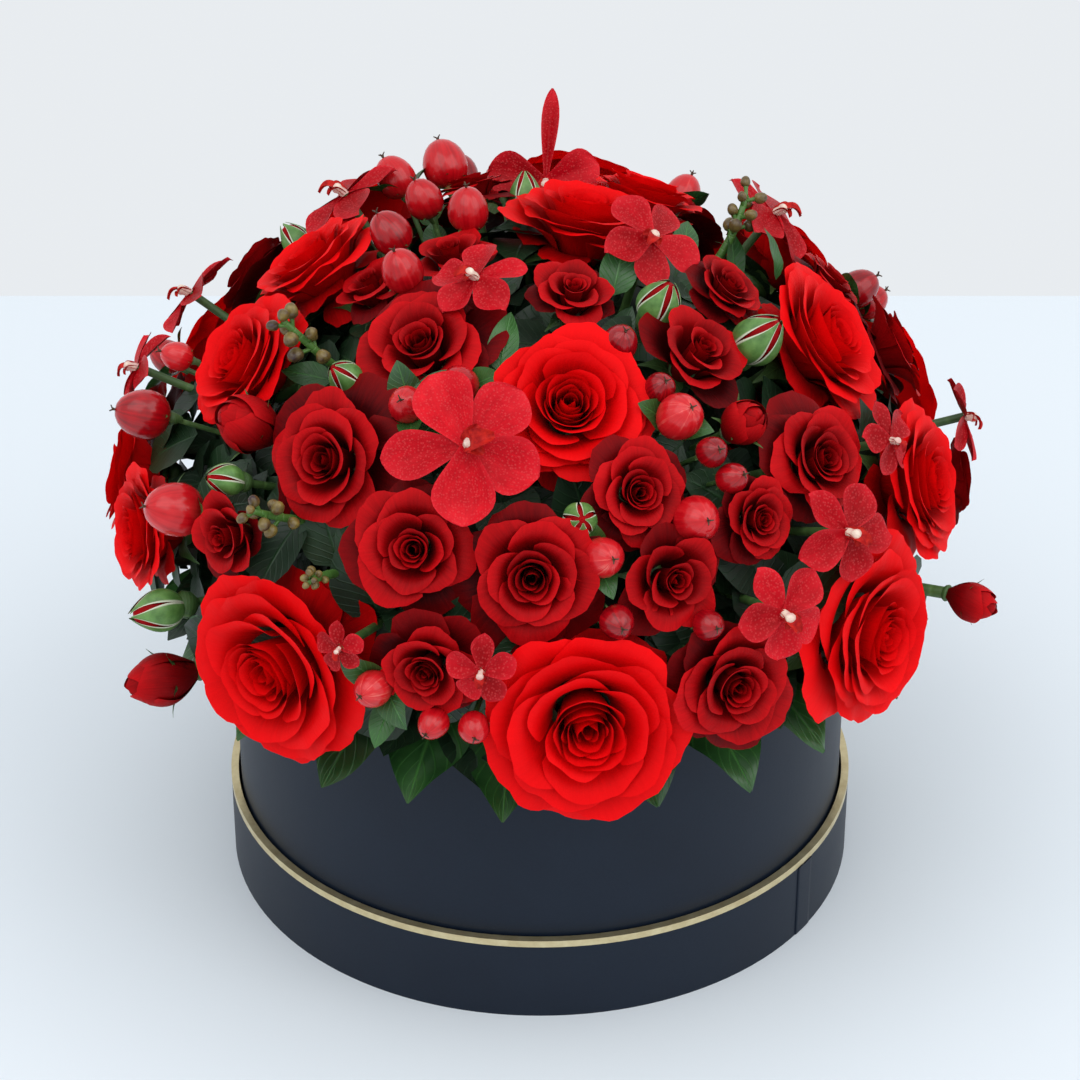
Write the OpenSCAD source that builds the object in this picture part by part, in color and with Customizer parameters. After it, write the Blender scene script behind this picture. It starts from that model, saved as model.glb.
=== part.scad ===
// Round flower box: a card hat box standing in its upturned lid, lined, filled with
// floral foam and set with a dome of roses, orchids, hypericum berries and foliage.
// Origin: centre of the lid's underside. +Z up, -Y is the front.

/* [Box] */
// Outside diameter of the round box, paper included
box_d = 222; // [200:1:240]
// Height of the box wall
box_h = 110; // [100:1:125]
// Thickness of the grey board of the box and lid
board_t = 2; // [1.6:0.1:2.4]
// Thickness of the black paper glued round the board
paper_t = 0.3; // [0.2:0.05:0.4]

/* [Lid] */
// Height of the lid, which stands upside down under the box
lid_h = 32; // [26:1:40]
// Gap between the box and the lid's gold band, all round
lid_gap = 1; // [0.6:0.1:1.6]
// Height of the gold band on the outside of the lid's rim
band_h = 2.2; // [1.5:0.1:4]
// Thickness of the gold band
band_t = 0.4; // [0.3:0.05:0.5]

/* [Foam] */
// Thickness of the waterproof liner
liner_t = 0.5; // [0.3:0.1:0.8]
// How far the liner stands above the rim of the box
liner_up = 1; // [0.5:0.5:2]
// Radius of the carved foam block that stands above the rim
cap_r = 88; // [80:1:94]
// Height of the carved foam block
cap_h = 72; // [64:1:76]

/* [Flowers] */
// Widest radius of the dome of flowers
dome_r = 155; // [150:1:162]
// Height of the dome's top above its widest level
dome_rise = 124; // [120:1:132]
// Share of a bloom's own radius that its solid head takes, the rest being loose petal edges
head_share = 0.88; // [0.8:0.01:0.88]
// Radius of a garden rose's stem
rose_stem_r = 2.6; // [2:0.1:3]
// Thickness of an orchid petal
petal_t = 1.2; // [0.8:0.1:1.6]

/* [Leaves] */
// Length of a collar leaf's blade
leaf_l = 60; // [56:1:64]
// Width of a collar leaf's blade
leaf_w = 31; // [26:1:32]
// Thickness of a collar leaf
leaf_t = 1; // [0.8:0.1:1.2]
// Slope of the collar leaves below the horizontal
leaf_droop = 24; // [22:1:26]

/* [Hidden] */
$fn = 96;

box_r = box_d / 2;
base_z = board_t;
rim_z = base_z + box_h;
lid_in_r = box_r + lid_gap + band_t;
lid_out_r = lid_in_r + board_t;

liner_gap = 0.4;
liner_r = box_r - paper_t - board_t - liner_gap;
liner_z = base_z + board_t;
liner_top = rim_z + liner_up;
foam_gap = 0.4;
foam_r = liner_r - liner_t - foam_gap;
foam_z = liner_z + liner_t;
brick_top = rim_z - 2;
brick_gap = 0.4;

// Every stem points at the heart, a point on the axis inside the foam block.
heart_z = rim_z + 18;
stem_end_low = 46;
stem_end_drop = 20;

// Flowers as [azimuth from the front, elevation above the heart, radius, how proud of the dome].
// Azimuth runs towards +X, so 90 is the right-hand side and 180 the back. An orchid also has the
// azimuth and elevation that its face looks towards, because it nods on its stem.
garden_roses = [
    [-37, 6, 34, 0], [6, 4, 34, 0], [49, 5, 33, 0], [6, 48, 27, 0], [131, 80, 27, 0],
    [-98, 51, 26, 0], [-73, 38, 25, 0], [79, 41, 28, 0], [-70, 11, 22, 0], [-90, 8, 23, 0],
    [72, 17, 26, 0]
];
garden_roses_back = [
    [115, 10, 30, 0], [153, 11, 32, 0], [-164, 9, 32, 0], [-125, 12, 30, 0],
    [172, 43, 28, 0], [-143, 38, 27, 0], [126, 36, 26, 0], [142, 60, 21, 0]
];
spray_roses = [
    [-33, 55, 20, 0], [-38, 35, 20, 0], [-19, 26, 18, 0], [-1, 24, 19, 0], [-14, 12, 15, 0],
    [15, 34, 15, 0], [18, 22, 16, 0], [25, 7, 19, 0], [40, 52, 17, 0], [50, 30, 17, 0],
    [14, 69, 14, 0], [68, 58, 12, 0], [39, 39, 11, 0], [-57, 33, 14, 0], [-49, 20, 14, 0],
    [-57, -5, 14, 4], [98, 27, 17, 0], [33, 27, 12, 0], [-82, 74, 14, -7], [-74, 60, 13, -6]
];
spray_roses_back = [
    [67, 3, 10, 10], [134, 12, 14, 0], [174, 10, 14, 0], [-145, 10, 14, 0],
    [-107, 8, 14, 0], [95, 5, 14, 0], [155, 28, 15, 0], [-166, 26, 16, 0], [-118, 33, 15, 0],
    [-150, 67, 12, 0], [101, 40, 12, 0]
];
orchids = [
    [-12, 40, 26, 4, -8, 37], [-24, 67, 16, 4, -40, 60], [178, 62, 20, -6, 0, 25],
    [62, 71, 18, 3, 35, 52], [44, 22, 18, 4, 37, 25], [31, 16, 17, 4, 24, 19],
    [-7, 13, 12, 2, -7, 13], [-125, 52, 20, 3, -95, 56], [117, 48, 20, 3, 85, 50]
];
orchids_side = [
    [61, 28, 13, 3, 54, 28], [-108, 29, 18, 4, -98, 38], [93, 15, 16, 3, 84, 18],
    [-95, 22, 16, 4, -86, 28], [-25, 13, 9, 1, -25, 13], [-150, 23, 17, 4, -150, 23],
    [138, 22, 17, 4, 138, 22], [-178, 28, 16, 4, -178, 28]
];
berries_top = [
    [-152, 57, 8, 9], [-138, 55, 7, 8], [-127, 66, 6.5, 2], [-116, 77, 7, 2],
    [-92, 66, 7, 3], [-60, 65, 7, 3]
];
berries_left = [
    [-80, 23, 8.5, 8], [-59, 19, 9, 6], [-84, 31, 5, 5], [-27, 45, 6, 1], [-18, 50, 6, 0]
];
berries_right = [
    [27, 43, 7.5, 3], [29, 37, 5, 4], [31, 33, 5, 2], [24, 29, 7.5, 0], [22, 57, 6, 0], [26, 48, 5, 0]
];
berries_low = [
    [9, 26, 6.5, 0], [10, 18, 5.5, 0], [22, 16, 5, 0], [-21, 8, 6, 0], [-13, 5, 5, 0], [-8, 5, 5, 0]
];
berries_back = [
    [109, 32, 6.5, 3], [112, 27, 6, 2], [140, 31, 6.5, 2], [168, 28, 6, 2], [174, 20, 6.5, 3],
    [-172, 40, 6, 2], [-160, 50, 6.5, 3], [-132, 26, 6.5, 3], [-106, 19, 6, 2], [150, 40, 6, 3]
];
rosebuds = [
    [42, 62, 8, 5], [59, 49, 9, 4], [6, 31, 6, 2], [-53, 26, 6, 3], [-44, 46, 6, 2],
    [-60, 4, 8, 3], [-172, 72, 6, 0], [-119, 42, 6, 2], [124, 21, 7, 3]
];
orchid_tips = [[-56, 47, 8, 8], [-40, 25, 7, 5], [-31, 20, 4, 3], [-157, 32, 7, 6], [110, 55, 7, 6]];

// Deep roses fill the gaps well below the outer flowers. Places are tried along a spiral round the
// dome, and one is used where the stems leave room for a head of at least the wanted radius.
fill_tries = 320;
fill_share = 0.71;
fill_r_max = 16;
fill_room = 4.2;
outer_places = concat(
    garden_roses, garden_roses_back, spray_roses, spray_roses_back, orchids, orchids_side,
    berries_top, berries_left, berries_right, berries_low, berries_back, rosebuds, orchid_tips
);
function fill_place(i) = [(i * 137.508) % 360 - 180, asin(0.14 + 0.83 * (i + 0.5) / fill_tries)];
function apart(a, b) = acos(min(1, toward(a[0], a[1]) * toward(b[0], b[1])));
function fill_radius(p, used) = let (d = reach(p[1]) * fill_share)
    min(concat(
        [fill_r_max],
        [for (q = outer_places) d * sin(min(90, apart(p, q))) - fill_room],
        [for (q = used) d * sin(min(90, apart(p, q))) - q[2] - 1]
    )) / head_share;
function fill(i, wanted, used) = i >= fill_tries ? used : let (
    p = fill_place(i), r = fill_radius(p, used),
    more = r < wanted ? used : concat(used, [[p[0], p[1], r, (fill_share - 1) * reach(p[1])]])
) fill(i + 1, wanted, more);
spray_roses_deep = fill(0, 9, fill(0, 11.5, fill(0, 14, [])));

// Collar leaves as [azimuth, layer], the second layer lying just above the first.
collar = [
    [-84, 1], [-67, 0], [-47, 1], [-31, 0], [-18, 1], [-5, 0], [16, 1], [30, 0], [43, 1], [62, 0],
    [82, 1], [102, 0], [122, 1], [142, 0], [161, 1], [-179, 0], [-159, 1], [-135, 0], [-111, 1]
];
leaf_root_r = 84;
leaf_stem_r = 1.5;
leaf_stem_in = 24;
leaf_layer_z = 3;
leaf_root_z = rim_z + 14;

// Half sections, as shares of a bloom's radius. Height 0 is the face of the bloom.
rose_section = [
    [0, 0], [0.18, -0.02], [0.23, -0.16], [0.30, -0.03], [0.43, -0.05], [0.48, -0.2],
    [0.56, -0.08], [0.70, -0.12], [0.75, -0.28], [0.83, -0.18], [0.97, -0.26], [1, -0.34],
    [0.97, -0.46], [0.82, -0.82], [0.5, -1.12], [0.22, -1.2], [0, -1.2]
];
bud_section = [
    [0, 0], [0.16, -0.04], [0.42, -0.3], [0.72, -0.62], [0.92, -1], [1, -1.4], [0.9, -1.75],
    [0.55, -2.05], [0.3, -2.15], [0, -2.15]
];
calyx_section = [
    [0, 0.1], [0.34, 0.1], [0.3, -0.08], [0.26, -0.24], [0.16, -0.36], [0, -0.36]
];
tip_section = [
    [0, 0], [0.35, -0.1], [0.5, -0.45], [0.42, -0.7], [0.8, -0.95], [0.9, -1.3], [0.75, -1.6],
    [1, -1.9], [0.95, -2.3], [0.5, -2.7], [0, -2.8]
];
rose_depth = 1.2;
bud_depth = 2.15;
tip_depth = 2.6;

function numbered(stem, list) = [for (i = [1 : len(list)]) str(stem, "_", i)];

// Distance from the heart to the dome at an elevation
function reach(el) = 1 / sqrt(pow(cos(el) / dome_r, 2) + pow(sin(el) / dome_rise, 2));
// Unit vector at an azimuth and elevation
function toward(az, el) = [sin(az) * cos(el), -cos(az) * cos(el), sin(el)];
// Distance from the heart to the cut end of a stem
function stem_end(el) = stem_end_low - stem_end_drop * sin(max(el, 0));
function scaled(section, r) = [for (p = section) p * r];

module tube(r_out, r_in, h) {
    difference() {
        cylinder(r = r_out, h = h);
        translate([0, 0, -1]) cylinder(r = r_in, h = h + 2);
    }
}

// Puts its children at the heart, with +Z out along the stem.
module on_stem(place) {
    translate([0, 0, heart_z]) rotate([0, 90 - place[1], place[0] - 90]) children();
}

module stem(place, r, face, depth) {
    from = stem_end(place[1]);
    color("darkolivegreen") translate([0, 0, from]) cylinder(r = r, h = face - depth - from, $fn = 32);
}

module turned(section, r) {
    rotate_extrude($fn = 64) polygon(scaled(section, r));
}

// --- Lid ---

module lid_wall() {
    color("dimgray") tube(lid_out_r, lid_in_r, lid_h);
}

module lid_top() {
    color("dimgray") cylinder(r = lid_in_r, h = board_t);
}

module lid_cover_paper() {
    color("black") tube(lid_out_r + paper_t, lid_out_r, lid_h - band_h);
}

// A gold strip folded over the rim
module lid_gold_band() {
    inside = lid_in_r - band_t;
    outside = lid_out_r + paper_t;
    color("gold") translate([0, 0, lid_h - band_h]) difference() {
        tube(outside, inside, band_h + band_t);
        translate([0, 0, -1]) tube(lid_out_r, lid_in_r, band_h + 1);
    }
}

// --- Box ---

module box_wall() {
    color("dimgray") translate([0, 0, base_z]) tube(box_r - paper_t, box_r - paper_t - board_t, box_h);
}

module box_base() {
    color("dimgray") translate([0, 0, base_z]) cylinder(r = box_r - paper_t - board_t, h = board_t);
}

module box_cover_paper() {
    color("black") translate([0, 0, base_z]) tube(box_r, box_r - paper_t, box_h);
}

// --- Liner and foam ---

module liner() {
    color("lightgray") translate([0, 0, liner_z]) difference() {
        cylinder(r = liner_r, h = liner_top - liner_z);
        translate([0, 0, liner_t]) cylinder(r = liner_r - liner_t, h = liner_top);
    }
}

// Half of the round filling, cut from one brick; side is -1 for the left and 1 for the right.
module foam_brick(side) {
    color("seagreen") translate([0, 0, foam_z]) intersection() {
        cylinder(r = foam_r, h = brick_top - foam_z);
        translate([side > 0 ? brick_gap / 2 : -foam_r - 1, -foam_r - 1, -1])
            cube([foam_r + 1 - brick_gap / 2, 2 * foam_r + 2, brick_top]);
    }
}

// The block above the rim, its top carved to a shallow dome
module foam_cap() {
    shoulder_h = 32;
    crown_r = (cap_r * cap_r + pow(cap_h - shoulder_h, 2)) / (2 * (cap_h - shoulder_h));
    color("seagreen") translate([0, 0, brick_top]) intersection() {
        cylinder(r = cap_r, h = cap_h + 1);
        translate([0, 0, cap_h - crown_r]) sphere(r = crown_r);
    }
}

// --- Flowers ---

module rose(place) {
    r = place[2] * head_share;
    face = reach(place[1]) + place[3];
    on_stem(place) {
        color("firebrick") translate([0, 0, face]) turned(rose_section, r);
        color("darkolivegreen") translate([0, 0, face - rose_depth * r]) turned(calyx_section, r);
        stem(place, rose_stem_r * (place[2] < 22 ? 0.8 : 1), face, rose_depth * r);
    }
}

module bud(place, petal_colour) {
    r = place[2] * head_share;
    face = reach(place[1]) + place[3];
    on_stem(place) {
        color(petal_colour) translate([0, 0, face]) turned(bud_section, r);
        stem(place, rose_stem_r * 0.6, face, (bud_depth - 0.1) * r);
    }
}

// Five round petals on a hub, with the column standing out of the middle
module orchid(place) {
    r = place[2] * head_share;
    neck = reach(place[1]) + place[3];
    translate([0, 0, heart_z] + neck * toward(place[0], place[1]))
        rotate([0, 90 - place[5], place[4] - 90]) translate([0, 0, -petal_t / 2]) {
            color("indianred") for (i = [0 : 4]) rotate(36 + 72 * i) translate([r * 0.58, 0, 0])
                cylinder(r = r * 0.42, h = petal_t, $fn = 48);
            color("indianred") cylinder(r = r * 0.3, h = petal_t, $fn = 32);
            color("pink") cylinder(r = r * 0.14, h = petal_t + r * 0.25, $fn = 32);
        }
    on_stem(place) stem(place, 1.3, neck, 0);
}

module berry(place) {
    r = place[2] * head_share;
    face = reach(place[1]) + place[3];
    on_stem(place) {
        color("red") translate([0, 0, face - r]) sphere(r = r, $fn = 48);
        stem(place, 1, face, 2 * r - 0.4);
    }
}

// The tip of an orchid spray: closed buds crowded into a blunt spike
module orchid_tip(place) {
    r = place[2] * head_share;
    face = reach(place[1]) + place[3];
    on_stem(place) {
        color("olive") translate([0, 0, face]) turned(tip_section, r);
        stem(place, 1.4, face, tip_depth * r);
    }
}

// A pointed leaf that springs from the foam and leans out over the rim
module collar_leaf(place) {
    arc_r = (leaf_l * leaf_l + leaf_w * leaf_w) / (4 * leaf_w);
    rotate(place[0] - 90) translate([leaf_root_r, 0, leaf_root_z + place[1] * leaf_layer_z])
        rotate([0, leaf_droop, 0]) color("darkgreen") {
            linear_extrude(leaf_t, center = true) intersection() {
                translate([leaf_l / 2, arc_r - leaf_w / 2]) circle(r = arc_r);
                translate([leaf_l / 2, leaf_w / 2 - arc_r]) circle(r = arc_r);
            }
            translate([3, 0, 0]) rotate([0, -90, 0]) cylinder(r = leaf_stem_r, h = leaf_stem_in, $fn = 24);
        }
}

lid_wall();
lid_top();
lid_cover_paper();
lid_gold_band();
box_wall();
box_base();
box_cover_paper();
liner();
foam_brick(-1);  // foam_brick_left
foam_brick(1);  // foam_brick_right
foam_cap();
for (i = [0 : len(garden_roses) - 1])
    rose(garden_roses[i]);
for (p = garden_roses_back) rose(p);
for (i = [0 : len(spray_roses) - 1])
    rose(spray_roses[i]);
for (p = spray_roses_back) rose(p);
for (p = spray_roses_deep) rose(p);
for (i = [0 : len(orchids) - 1])
    orchid(orchids[i]);
for (p = orchids_side) orchid(p);
for (p = berries_top) berry(p);
for (p = berries_left) berry(p);
for (p = berries_right) berry(p);
for (p = berries_low) berry(p);
for (p = berries_back) berry(p);
for (p = rosebuds) bud(p, "yellowgreen");
for (p = orchid_tips) orchid_tip(p);
for (p = collar) collar_leaf(p);  // leaf_collar
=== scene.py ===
"""The flower box's looks: petals, leaves, berries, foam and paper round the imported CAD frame."""

import math

import bpy
import numpy as np
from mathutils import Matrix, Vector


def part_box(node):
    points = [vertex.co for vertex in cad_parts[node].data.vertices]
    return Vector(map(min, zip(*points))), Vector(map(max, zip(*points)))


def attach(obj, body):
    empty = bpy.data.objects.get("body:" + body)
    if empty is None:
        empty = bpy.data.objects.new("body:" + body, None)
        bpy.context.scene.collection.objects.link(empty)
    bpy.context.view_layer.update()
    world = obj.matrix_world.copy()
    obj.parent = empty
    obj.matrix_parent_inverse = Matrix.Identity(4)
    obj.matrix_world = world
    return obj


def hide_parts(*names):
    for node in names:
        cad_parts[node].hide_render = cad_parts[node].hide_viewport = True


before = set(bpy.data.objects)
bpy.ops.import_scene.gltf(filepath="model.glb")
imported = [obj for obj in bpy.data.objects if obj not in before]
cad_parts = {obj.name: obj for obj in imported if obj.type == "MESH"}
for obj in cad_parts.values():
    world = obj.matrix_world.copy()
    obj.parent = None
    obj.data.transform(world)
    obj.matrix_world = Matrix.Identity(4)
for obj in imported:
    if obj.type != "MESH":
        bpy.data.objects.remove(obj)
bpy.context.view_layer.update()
TAU = 2 * math.pi
GOLDEN = math.radians(137.508)

RIM_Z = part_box("box_wall")[1].z
# Every stem points at the heart, 18 mm above the rim of the box
HEART = np.array((0.0, 0.0, RIM_Z + 0.018))
# Share of a bloom's own radius that its CAD head takes
HEAD_SHARE = 0.88
# Radius of the dome of flowers, and its rise above the heart
DOME_R, DOME_RISE = 0.155, 0.124
# Roses with a larger radius than this are garden roses or big spray roses
BIG_ROSE_R = 0.022
LID_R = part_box("lid_cover_paper")[1].x

# --- Camera, stage and light ------------------------------------------------

scene = bpy.context.scene
CAM_EL = math.radians(30.6)
CAM_D = 1.147
CAM_LENS = 106.7
AIM_Z = 0.1241
cam_data = bpy.data.cameras.new("camera")
cam = bpy.data.objects.new("camera", cam_data)
scene.collection.objects.link(cam)
cam_data.sensor_width = 36
cam_data.lens = CAM_LENS
cam.location = (0, -CAM_D * math.cos(CAM_EL), AIM_Z + CAM_D * math.sin(CAM_EL))
cam.rotation_euler = (math.pi / 2 - CAM_EL, 0, 0)
scene.camera = cam
scene.view_settings.view_transform = "Standard"


def principled(name):
    m = bpy.data.materials.new(name)
    m.use_nodes = True
    b = m.node_tree.nodes["Principled BSDF"]
    return m, m.node_tree, b


def plain(name, colour, roughness=0.9):
    m, _, b = principled(name)
    b.inputs["Base Color"].default_value = (*colour, 1)
    b.inputs["Roughness"].default_value = roughness
    return m


def make_stage():
    """A sheet of floor; it ends behind the object, where the white of the room takes over."""
    w, near, far = 3.0, -3.0, 0.449
    me = bpy.data.meshes.new("studio_floor")
    me.from_pydata([(-w, near, 0), (w, near, 0), (w, far, 0), (-w, far, 0)], [], [(0, 1, 2, 3)])
    me.materials.append(plain("studio_floor_paper", (0.775, 0.83, 0.875)))
    floor = bpy.data.objects.new("studio_floor", me)
    scene.collection.objects.link(floor)


def area_light(name, place, aim, size, energy):
    data = bpy.data.lights.new(name, "AREA")
    data.shape = "RECTANGLE"
    data.size, data.size_y = size, size
    data.energy = energy
    o = bpy.data.objects.new(name, data)
    scene.collection.objects.link(o)
    d = np.subtract(aim, place)
    o.location = place
    o.rotation_euler = (
        math.atan2(math.hypot(d[0], d[1]), -d[2]),
        0,
        math.atan2(d[1], d[0]) - math.pi / 2,
    )


make_stage()
world = bpy.data.worlds.new("studio")
world.use_nodes = True
world.node_tree.nodes["Background"].inputs["Color"].default_value = (0.93, 0.965, 1, 1)
world.node_tree.nodes["Background"].inputs["Strength"].default_value = 0.87
scene.world = world
area_light("key", (-0.55, -0.75, 1.6), (0, 0, 0.15), 1.5, 9.5)
area_light("fill", (0.9, -0.6, 1.3), (0, 0, 0.12), 1.3, 7)

# --- Reading the frame ------------------------------------------------------


def solids_of(node):
    """The loose solids of a CAD node, each as its distinct points."""
    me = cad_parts[node].data
    co = np.empty(len(me.vertices) * 3)
    me.vertices.foreach_get("co", co)
    co = co.reshape(-1, 3)
    keys, inv = np.unique(np.round(co * 2e4).astype(np.int64), axis=0, return_inverse=True)
    inv = inv.ravel()
    e = np.empty(len(me.edges) * 2, np.int64)
    me.edges.foreach_get("vertices", e)
    e = inv[e].reshape(-1, 2)
    label = np.arange(len(keys))
    while True:
        low = np.minimum(label[e[:, 0]], label[e[:, 1]])
        new = label.copy()
        np.minimum.at(new, e[:, 0], low)
        np.minimum.at(new, e[:, 1], low)
        new = new[new]
        if (new == label).all():
            break
        label = new
    pts = keys / 2e4
    return [pts[label == k] for k in np.unique(label)]


def blooms_of(node):
    """Each bloom of a node: axis out of the heart, distance to its face, CAD radius and stem end."""
    out = []
    for p in solids_of(node):
        v = p - HEART
        axis = v.mean(0)
        for _ in range(3):
            axis = axis / np.linalg.norm(axis)
            along = v @ axis
            ends = [v[along > along.max() - 1e-4], v[along < along.min() + 1e-4]]
            axis = ends[0].mean(0)
        axis = axis / np.linalg.norm(axis)
        along = v @ axis
        off = np.linalg.norm(v - np.outer(along, axis), axis=1)
        out.append({"axis": axis, "face": along.max(), "r": off.max(), "stem": along.min()})
    return sorted(out, key=lambda b: (round(b["axis"][2], 3), round(b["axis"][0], 3)))


def local_frame(axis, roll=0.0):
    """Columns right, up and out of a bloom, with up as near to +Z as it goes."""
    up = np.array((0, 0, 1.0)) - axis * axis[2]
    if np.linalg.norm(up) < 0.05:
        up = np.array((0, 1.0, 0)) - axis * axis[1]
    up = up / np.linalg.norm(up)
    right = np.cross(up, axis)
    c, s = math.cos(roll), math.sin(roll)
    return np.stack([right * c + up * s, up * c - right * s, axis], 1)


class Shape:
    """Collects grids of points, with values at the points, and makes one mesh of them."""

    def __init__(self):
        self.v, self.f, self.data, self.mat, self.n = [], [], [], [], 0

    def grid(self, pts, mat=0, wrap=False, **values):
        """pts is (rows, columns, 3); values are per point or one number."""
        rows, cols = pts.shape[:2]
        idx = np.arange(rows * cols).reshape(rows, cols) + self.n
        a, b = idx[:-1], idx[1:]
        if wrap:
            a, b = np.hstack([a, a[:, :1]]), np.hstack([b, b[:, :1]])
        f = np.stack([a[:, :-1], a[:, 1:], b[:, 1:], b[:, :-1]], -1).reshape(-1, 4)
        self.v.append(pts.reshape(-1, 3))
        self.f.append(f)
        self.mat.append(np.full(len(f), mat))
        row = np.zeros((rows, cols, 4))
        for i, k in enumerate(("u", "v", "t", "rand")):
            row[..., i] = values.get(k, 0.0)
        self.data.append(row.reshape(-1, 4))
        self.n += rows * cols

    def build(self, name, materials, body="insert"):
        v, f = np.vstack(self.v), np.vstack(self.f)
        me = bpy.data.meshes.new(name)
        me.vertices.add(len(v))
        me.vertices.foreach_set("co", v.ravel())
        me.loops.add(f.size)
        me.loops.foreach_set("vertex_index", f.ravel())
        me.polygons.add(len(f))
        me.polygons.foreach_set("loop_start", np.arange(len(f)) * 4)
        me.polygons.foreach_set("material_index", np.concatenate(self.mat))
        me.update(calc_edges=True)
        d = np.vstack(self.data)
        for i, k in enumerate(("u", "v", "t", "rand")):
            a = me.attributes.new(k, "FLOAT", "POINT")
            a.data.foreach_set("value", d[:, i].astype(np.float32))
        me.validate()
        me.polygons.foreach_set("use_smooth", np.ones(len(me.polygons), bool))
        for m in materials:
            me.materials.append(m)
        o = bpy.data.objects.new(name, me)
        scene.collection.objects.link(o)
        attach(o, body)
        return o


def placed(pts, basis, origin):
    return pts @ basis.T + origin


# --- Materials --------------------------------------------------------------


def link(t, a, b):
    t.links.new(a, b)


def attribute(t, name):
    n = t.nodes.new("ShaderNodeAttribute")
    n.attribute_name = name
    return n.outputs["Fac"]


def math_node(t, op, a, b=None, clamp=False):
    n = t.nodes.new("ShaderNodeMath")
    n.operation, n.use_clamp = op, clamp
    for i, x in enumerate((a, b)):
        if x is None:
            continue
        if isinstance(x, (int, float)):
            n.inputs[i].default_value = x
        else:
            link(t, x, n.inputs[i])
    return n.outputs[0]


def add(t, a, b, clamp=False):
    return math_node(t, "ADD", a, b, clamp)


def sub(t, a, b, clamp=False):
    return math_node(t, "SUBTRACT", a, b, clamp)


def mul(t, a, b, clamp=False):
    return math_node(t, "MULTIPLY", a, b, clamp)


def swing(t, x, amount):
    """A 0 to 1 value turned into one that swings by amount about 0."""
    return mul(t, sub(t, x, 0.5), amount)


def ramp(t, fac, stops):
    n = t.nodes.new("ShaderNodeValToRGB")
    link(t, fac, n.inputs[0])
    e = n.color_ramp.elements
    while len(e) < len(stops):
        e.new(0.5)
    for el, (p, c) in zip(e, stops):
        el.position, el.color = p, (*c, 1)
    return n.outputs["Color"]


def mix(t, fac, a, b):
    n = t.nodes.new("ShaderNodeMix")
    n.data_type = "RGBA"
    for sock, x in ((n.inputs["Factor"], fac), (n.inputs["A"], a), (n.inputs["B"], b)):
        if isinstance(x, (int, float)):
            sock.default_value = x
        elif isinstance(x, tuple):
            sock.default_value = (*x, 1)
        else:
            link(t, x, sock)
    return n.outputs["Result"]


def noise(t, vector, scale, detail=3, rough=0.55):
    n = t.nodes.new("ShaderNodeTexNoise")
    n.inputs["Scale"].default_value = scale
    n.inputs["Detail"].default_value = detail
    n.inputs["Roughness"].default_value = rough
    link(t, vector, n.inputs["Vector"])
    return n.outputs["Fac"]


def combine(t, x, y, z):
    n = t.nodes.new("ShaderNodeCombineXYZ")
    for i, s in enumerate((x, y, z)):
        if isinstance(s, (int, float)):
            n.inputs[i].default_value = s
        else:
            link(t, s, n.inputs[i])
    return n.outputs[0]


def object_coords(t):
    return t.nodes.new("ShaderNodeTexCoord").outputs["Object"]


def bump(t, b, height, strength, distance):
    n = t.nodes.new("ShaderNodeBump")
    n.inputs["Strength"].default_value = strength
    n.inputs["Distance"].default_value = distance
    link(t, height, n.inputs["Height"])
    link(t, n.outputs["Normal"], b.inputs["Normal"])


def petal_material(name, deep, mid, bright, rough):
    """Velvet petal with fine veins that fan from the foot; painted shade darkens its foot and the inner
    petals, and a painted highlight brightens its lip.
    """
    m, t, b = principled(name)
    u, v, k, r = (attribute(t, x) for x in ("u", "v", "t", "rand"))
    fan = combine(t, mul(t, u, 9.0), mul(t, v, 1.3), mul(t, r, 37.0))
    veins = noise(t, fan, 2.2, 5, 0.65)
    blotch = noise(t, object_coords(t), 60, 3)
    # Painted light: the tone climbs from painted shade at the foot to a painted highlight at the lip, and
    # inner petals (low t) get more painted shade than outer ones
    lip = math_node(t, "POWER", v, 1.6)
    tone = add(t, mul(t, lip, 0.62), mul(t, k, 0.16))
    # Each petal's own tone differs at random, but guard petals carry a large negative value here, which
    # is painted shade
    tone = add(t, tone, swing(t, r, 0.22))
    tone = add(t, tone, swing(t, veins, 0.35))
    tone = add(t, tone, swing(t, blotch, 0.3), True)
    link(t, ramp(t, tone, [(0.0, deep), (0.45, mid), (0.9, bright)]), b.inputs["Base Color"])
    b.inputs["Roughness"].default_value = rough
    b.inputs["Sheen Weight"].default_value = 0.06
    b.inputs["Sheen Roughness"].default_value = 0.45
    b.inputs["Sheen Tint"].default_value = (1.0, 0.06, 0.06, 1)
    b.inputs["Specular IOR Level"].default_value = 0.08
    bump(t, b, veins, 0.3, 0.0006)
    return m


def leaf_material(name, dark, light, rough):
    """Leaf with a pale midrib and side veins, each leaf of its own tone."""
    m, t, b = principled(name)
    u, v, r = (attribute(t, x) for x in ("u", "v", "rand"))
    au = math_node(t, "ABSOLUTE", u)
    rib = sub(t, 1.0, mul(t, au, 14.0), True)
    side = sub(t, mul(t, v, 9.0), mul(t, au, 2.6))
    saw = math_node(t, "ABSOLUTE", sub(t, math_node(t, "FRACT", side), 0.5))
    veins = sub(t, 1.0, mul(t, saw, 9.0), True)
    lines = math_node(t, "MAXIMUM", rib, mul(t, veins, 0.45))
    cloud = noise(t, object_coords(t), 90, 3)
    tone = add(t, mul(t, lines, 0.5), mul(t, cloud, 0.55))
    tone = add(t, tone, swing(t, r, 0.4), True)
    link(t, ramp(t, tone, [(0.1, dark), (0.9, light)]), b.inputs["Base Color"])
    b.inputs["Roughness"].default_value = rough
    b.inputs["Specular IOR Level"].default_value = 0.5
    bump(t, b, sub(t, cloud, lines), 0.4, 0.0008)
    return m


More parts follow.
